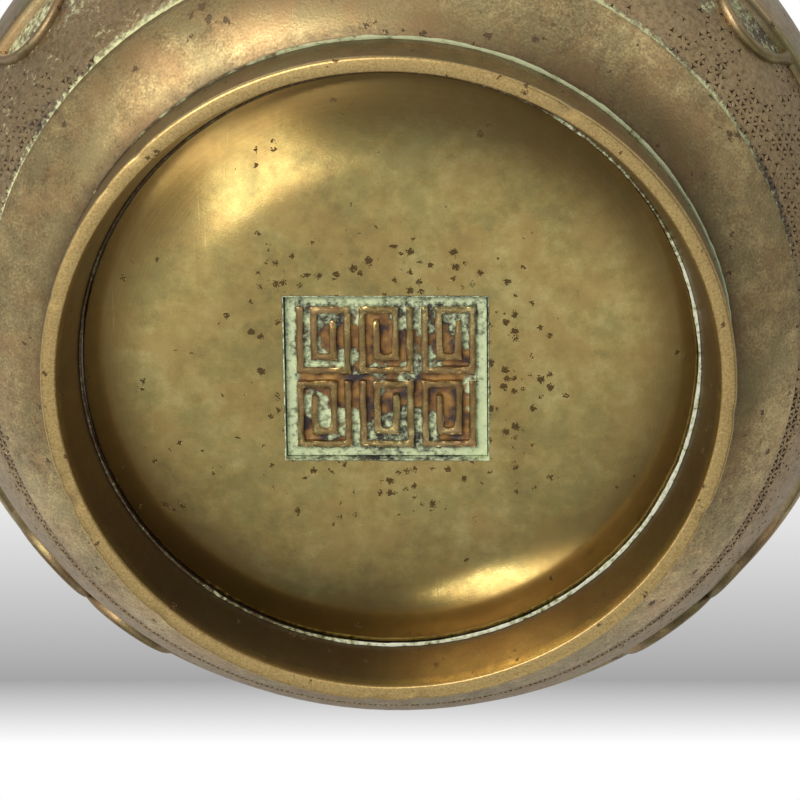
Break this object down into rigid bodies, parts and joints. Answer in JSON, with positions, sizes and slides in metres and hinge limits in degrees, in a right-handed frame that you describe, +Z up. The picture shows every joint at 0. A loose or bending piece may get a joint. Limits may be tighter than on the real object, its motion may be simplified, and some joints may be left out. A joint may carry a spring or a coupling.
{
  "type": "incense burner",
  "caption": "Round-bellied bronze incense burner on a ring foot, with a let-in base disc, a smooth girdle, lobed frames and an everted lip.",
  "frame": {"origin": "centre of the foot ring's standing face, on the surface that the vessel stands on", "axes": "+Z up the vessel through the mouth; -Y towards the front, which is the upper side in the picture; +X to the right in the picture"},
  "size_m": [0.1386, 0.1386, 0.0915],
  "materials": {
    "plain_bronze": "worn brown-gold bronze, smooth, with a fine grain and a matted ground",
    "frame_bronze": "worn brown-gold bronze, rounded and rubbed bright along the crest",
    "rubbed_bronze": "bronze rubbed light gold on the standing face, darker on the walls",
    "olive_bronze": "olive-gold bronze with fine turning marks and small corrosion pits",
    "green_bronze": "bronze with pale green and red-brown corrosion around raised strokes",
    "solder": "dull grey solder with pale residue"
  },
  "bodies": {
    "root": {"foot_ring": "rubbed_bronze", "base_disc": "olive_bronze", "panel_tile": "green_bronze", "base_solder": "solder", "foot_solder": "solder", "bowl": "plain_bronze", "girdle": "plain_bronze", "lower_frame_back_right": "frame_bronze", "lower_frame_back_left": "frame_bronze", "lower_frame_front_left": "frame_bronze", "lower_frame_front_right": "frame_bronze", "upper_frame_back_right": "frame_bronze", "upper_frame_back_left": "frame_bronze", "upper_frame_front_left": "frame_bronze", "upper_frame_front_right": "frame_bronze"}
  },
  "joints": []
}
